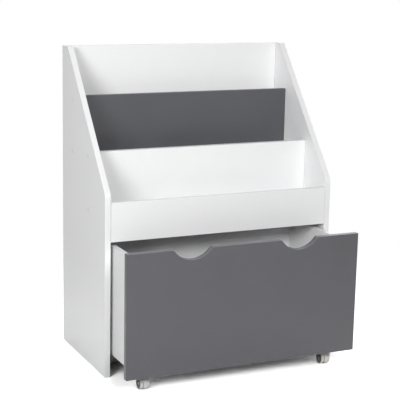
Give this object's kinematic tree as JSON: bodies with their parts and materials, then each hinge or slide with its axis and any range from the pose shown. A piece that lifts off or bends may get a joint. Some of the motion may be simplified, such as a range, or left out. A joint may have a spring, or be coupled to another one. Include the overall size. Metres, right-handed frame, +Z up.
{
  "type": "children's bookshelf",
  "caption": "Children's bookshelf with sloping sides, stepped book tiers and a rolling storage drawer below, pulled by hand notches in its front.",
  "frame": {"origin": "on the floor, under the middle of the whole part as it stands with the drawer partly out", "axes": "+X to the right seen from the front, +Y to the back, +Z up"},
  "size_m": [0.631, 0.4724, 0.8],
  "materials": {
    "white_board": "satin white melamine",
    "white_hardboard": "white hardboard",
    "dark_grey_board": "satin dark grey melamine",
    "grey_board": "satin grey melamine",
    "drawer_board": "satin white melamine",
    "beech": "fluted beech",
    "cap_plastic": "matt white",
    "zinc_casting": "raw zinc casting",
    "caster_plastic": "satin warm grey",
    "wheel_plastic": "satin warm grey",
    "zinc_plated_steel": "bright zinc"
  },
  "bodies": {
    "carcass": {"back_panel": "white_board", "cam_bolts": "zinc_plated_steel", "cam_discs": "zinc_casting", "carcass_dowels": "beech", "left_screw_caps": "cap_plastic", "left_side_panel": "white_board", "left_side_screws": "zinc_plated_steel", "lower_back_panel": "white_hardboard", "lower_tier_floor": "white_board", "lower_tier_front": "white_board", "middle_tier_floor": "white_board", "middle_tier_front": "white_board", "right_screw_caps": "cap_plastic", "right_side_panel": "white_board", "right_side_screws": "zinc_plated_steel", "top_tier_floor": "white_board", "top_tier_front": "dark_grey_board"},
    "drawer": {"caster_plate_screws": "zinc_plated_steel", "drawer_back": "drawer_board", "drawer_bottom": "drawer_board", "drawer_cam_bolts": "zinc_plated_steel", "drawer_cam_discs": "zinc_casting", "drawer_dowels": "beech", "drawer_front": "grey_board", "drawer_left_side": "drawer_board", "drawer_right_side": "drawer_board", "drawer_screws": "zinc_plated_steel", "front_left_caster_plate": "zinc_plated_steel", "front_right_caster_plate": "zinc_plated_steel", "rear_left_caster_plate": "zinc_plated_steel", "rear_right_caster_plate": "zinc_plated_steel"},
    "front_left_caster": {"front_left_caster_axle": "zinc_plated_steel", "front_left_caster_hood": "caster_plastic"},
    "front_left_wheel_left": {"front_left_caster_left_wheel": "wheel_plastic"},
    "front_left_wheel_right": {"front_left_caster_right_wheel": "wheel_plastic"},
    "front_right_caster": {"front_right_caster_axle": "zinc_plated_steel", "front_right_caster_hood": "caster_plastic"},
    "front_right_wheel_left": {"front_right_caster_left_wheel": "wheel_plastic"},
    "front_right_wheel_right": {"front_right_caster_right_wheel": "wheel_plastic"},
    "rear_left_caster": {"rear_left_caster_axle": "zinc_plated_steel", "rear_left_caster_hood": "caster_plastic"},
    "rear_left_wheel_left": {"rear_left_caster_left_wheel": "wheel_plastic"},
    "rear_left_wheel_right": {"rear_left_caster_right_wheel": "wheel_plastic"},
    "rear_right_caster": {"rear_right_caster_axle": "zinc_plated_steel", "rear_right_caster_hood": "caster_plastic"},
    "rear_right_wheel_left": {"rear_right_caster_left_wheel": "wheel_plastic"},
    "rear_right_wheel_right": {"rear_right_caster_right_wheel": "wheel_plastic"}
  },
  "joints": [
    {"name": "drawer_slide", "type": "slide", "parent": "carcass", "child": "drawer", "axis": [0, -1, 0], "range_m": [-0.1315, 0.2]},
    {"name": "front_left_swivel", "type": "hinge", "parent": "drawer", "child": "front_left_caster", "pos_m": [-0.253, -0.17825, 0.045], "axis": [0, 0, 1], "continuous": true},
    {"name": "front_left_left_wheel_spin", "type": "hinge", "parent": "front_left_caster", "child": "front_left_wheel_left", "pos_m": [-0.253, -0.19025, 0.015], "axis": [1, 0, 0], "continuous": true},
    {"name": "front_left_right_wheel_spin", "type": "hinge", "parent": "front_left_caster", "child": "front_left_wheel_right", "pos_m": [-0.253, -0.19025, 0.015], "axis": [1, 0, 0], "continuous": true},
    {"name": "front_right_swivel", "type": "hinge", "parent": "drawer", "child": "front_right_caster", "pos_m": [0.253, -0.17825, 0.045], "axis": [0, 0, 1], "continuous": true},
    {"name": "front_right_left_wheel_spin", "type": "hinge", "parent": "front_right_caster", "child": "front_right_wheel_left", "pos_m": [0.253, -0.19025, 0.015], "axis": [1, 0, 0], "continuous": true},
    {"name": "front_right_right_wheel_spin", "type": "hinge", "parent": "front_right_caster", "child": "front_right_wheel_right", "pos_m": [0.253, -0.19025, 0.015], "axis": [1, 0, 0], "continuous": true},
    {"name": "rear_left_swivel", "type": "hinge", "parent": "drawer", "child": "rear_left_caster", "pos_m": [-0.253, 0.02575, 0.045], "axis": [0, 0, 1], "continuous": true},
    {"name": "rear_left_left_wheel_spin", "type": "hinge", "parent": "rear_left_caster", "child": "rear_left_wheel_left", "pos_m": [-0.253, 0.01375, 0.015], "axis": [1, 0, 0], "continuous": true},
    {"name": "rear_left_right_wheel_spin", "type": "hinge", "parent": "rear_left_caster", "child": "rear_left_wheel_right", "pos_m": [-0.253, 0.01375, 0.015], "axis": [1, 0, 0], "continuous": true},
    {"name": "rear_right_swivel", "type": "hinge", "parent": "drawer", "child": "rear_right_caster", "pos_m": [0.253, 0.02575, 0.045], "axis": [0, 0, 1], "continuous": true},
    {"name": "rear_right_left_wheel_spin", "type": "hinge", "parent": "rear_right_caster", "child": "rear_right_wheel_left", "pos_m": [0.253, 0.01375, 0.015], "axis": [1, 0, 0], "continuous": true},
    {"name": "rear_right_right_wheel_spin", "type": "hinge", "parent": "rear_right_caster", "child": "rear_right_wheel_right", "pos_m": [0.253, 0.01375, 0.015], "axis": [1, 0, 0], "continuous": true}
  ]
}
